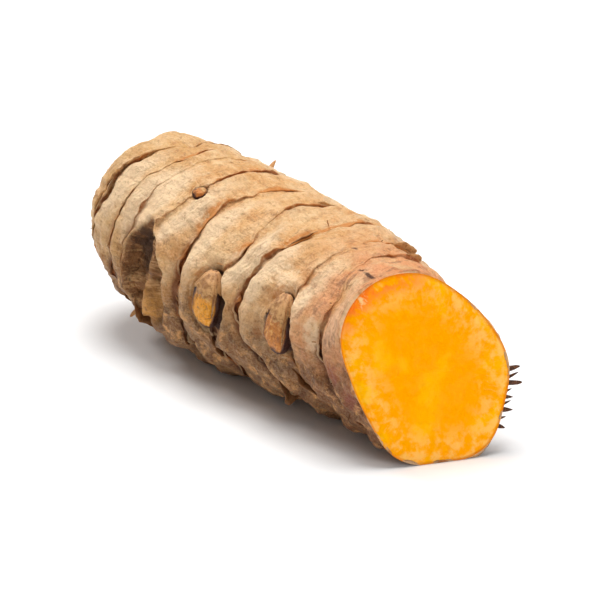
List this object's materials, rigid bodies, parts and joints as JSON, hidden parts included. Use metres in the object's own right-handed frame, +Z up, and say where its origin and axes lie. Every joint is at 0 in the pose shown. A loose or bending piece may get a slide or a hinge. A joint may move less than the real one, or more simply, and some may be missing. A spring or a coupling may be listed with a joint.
{
  "type": "turmeric root",
  "caption": "Short finger of fresh turmeric with leaf-scar rings, side buds and rootlet stubs, cut across at one end to show its flesh; lies flat on a surface.",
  "frame": {"origin": "middle of the footprint, on the surface that the root lies on", "axes": "+X along the root, towards its cut end; +Z up; -Y is the side with the large bud scar"},
  "size_m": [0.073, 0.028, 0.0267],
  "materials": {
    "turmeric_skin": "matte",
    "turmeric_flesh": "matte",
    "dry_scale": "matte",
    "dry_rootlet": "matte"
  },
  "bodies": {
    "root": {"turmeric_rhizome": "turmeric_skin"}
  },
  "joints": []
}
